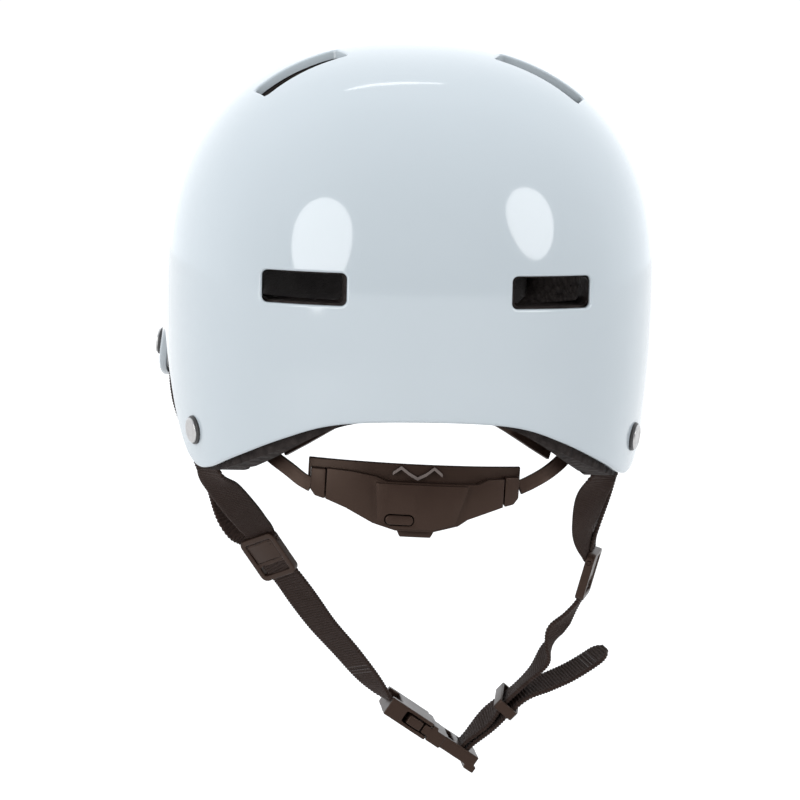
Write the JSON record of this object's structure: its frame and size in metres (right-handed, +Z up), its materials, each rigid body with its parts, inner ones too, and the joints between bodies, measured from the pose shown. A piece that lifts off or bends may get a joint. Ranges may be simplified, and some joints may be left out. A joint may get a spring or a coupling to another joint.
{
  "type": "water helmet",
  "caption": "Hard-shell water sports helmet with foam liner, fit pads, a sliding nape cradle, webbing harness with dividers and a side-release chin buckle.",
  "frame": {"origin": "middle of the head opening, on the helmet's middle plane", "axes": "+X the wearer's right, +Y the way the wearer faces, +Z up towards the crown"},
  "size_m": [0.2269, 0.2721, 0.338],
  "materials": {
    "shell": "high gloss, cool white",
    "foam": "moulded bead foam, black",
    "padding": "brushed knit over foam",
    "rivet": "satin",
    "stud_metal": "plain",
    "webbing": "ribbed woven webbing",
    "hardware": "moulded, satin",
    "flex_plastic": "moulded, soft satin",
    "spring_wire": "dark",
    "keeper": "matt"
  },
  "bodies": {
    "helmet": {"shell": "shell", "liner": "foam", "crown_pad": "padding", "side_pad_left": "padding", "side_pad_right": "padding", "brow_pad": "padding", "rear_pad": "padding", "rear_rivet_left": "rivet", "rear_rivet_right": "rivet", "front_rivet_left": "rivet", "front_rivet_right": "rivet", "rear_washer_left": "stud_metal", "rear_washer_right": "stud_metal", "front_washer_left": "stud_metal", "front_washer_right": "stud_metal", "rear_web_end_left": "webbing", "rear_web_end_right": "webbing", "front_web_end_left": "webbing", "front_web_end_right": "webbing", "left_stud": "hardware", "right_stud": "hardware"},
    "cradle": {"cradle_cover": "hardware", "cradle_frame": "flex_plastic", "nape_pad": "padding", "cradle_tab": "flex_plastic", "cradle_spring": "spring_wire", "left_arm_eye": "flex_plastic", "right_arm_eye": "flex_plastic", "left_height_band": "flex_plastic", "right_height_band": "flex_plastic"},
    "left_cap": {"left_end_cap": "hardware", "left_arm": "flex_plastic"},
    "right_cap": {"right_end_cap": "hardware", "right_arm": "flex_plastic"},
    "release_button": {"cradle_button": "hardware"},
    "left_harness": {"left_rear_strap": "webbing", "left_front_strap": "webbing", "left_divider": "hardware"},
    "left_flap": {"left_divider_flap": "hardware"},
    "right_harness": {"right_rear_strap": "webbing", "right_front_strap": "webbing", "right_divider": "hardware"},
    "right_flap": {"right_divider_flap": "hardware"},
    "chin": {"left_chin_strap": "webbing", "buckle_socket": "hardware"},
    "plug": {"buckle_plug": "hardware", "right_chin_strap": "webbing", "strap_tail": "webbing", "strap_keeper": "keeper"},
    "button_rear": {"buckle_button_rear": "hardware"},
    "button_front": {"buckle_button_front": "hardware"}
  },
  "joints": [
    {"name": "nape_tilt", "type": "hinge", "parent": "helmet", "child": "cradle", "pos_m": [0, -0.0636, -0.001], "axis": [1, 0, 0], "range_deg": [-2, 10], "deforming": ["left_arm", "right_arm"]},
    {"name": "left_cap_slide", "type": "hinge", "parent": "cradle", "child": "left_cap", "pos_m": [-0.0015, 0.016, -0.0158], "axis": [-0.035, 0, -0.9994], "range_deg": [0, 3.6], "deforming": ["left_arm"]},
    {"name": "right_cap_slide", "type": "hinge", "parent": "cradle", "child": "right_cap", "pos_m": [-0.0015, 0.016, -0.0158], "axis": [0.035, 0, 0.9994], "range_deg": [0, 3.6], "deforming": ["right_arm"]},
    {"name": "cradle_button_press", "type": "slide", "parent": "cradle", "child": "release_button", "axis": [0, 1, 0], "range_m": [0, 0.0014], "stiffness_N_per_m": 400},
    {"name": "harness_swing", "type": "hinge", "parent": "helmet", "child": "left_harness", "pos_m": [-0.088, -0.066, -0.022], "axis": [-0.1744, 0.9493, 0.2615], "range_deg": [-7, 7]},
    {"name": "right_harness_swing", "type": "hinge", "parent": "helmet", "child": "right_harness", "pos_m": [0.081, -0.066, -0.022], "axis": [0.2388, 0.9362, 0.2579], "range_deg": [-6.2, 6.2]},
    {"name": "chin_swing", "type": "hinge", "parent": "left_harness", "child": "chin", "pos_m": [-0.0525, -0.009, -0.0798], "axis": [0, 1, 0], "range_deg": [-9.6, 9.6]},
    {"name": "buckle_release", "type": "slide", "parent": "chin", "child": "plug", "axis": [0.8329, 0.0401, -0.5519], "range_m": [0, 0.024]},
    {"name": "buckle_button_rear_press", "type": "slide", "parent": "plug", "child": "button_rear", "axis": [-0.0335, 0.9992, 0.0222], "range_m": [0, 0.002], "stiffness_N_per_m": 900},
    {"name": "buckle_button_front_press", "type": "slide", "parent": "plug", "child": "button_front", "axis": [0.0335, -0.9992, -0.0222], "range_m": [0, 0.002], "stiffness_N_per_m": 900},
    {"name": "left_flap_open", "type": "hinge", "parent": "left_harness", "child": "left_flap", "pos_m": [-0.06411, -0.01117, -0.06485], "axis": [-0.7188, 0.589, -0.3694], "range_deg": [0, 75]},
    {"name": "right_flap_open", "type": "hinge", "parent": "right_harness", "child": "right_flap", "pos_m": [0.08723, -0.01088, -0.0702], "axis": [-0.3037, -0.9514, -0.0506], "range_deg": [0, 75]}
  ],
  "couplings": [
    {"joint": "right_cap_slide", "follows": "left_cap_slide", "ratio": 1},
    {"joint": "right_harness_swing", "follows": "harness_swing", "ratio": 0.86146},
    {"joint": "chin_swing", "follows": "harness_swing", "ratio": -1.3496}
  ]
}
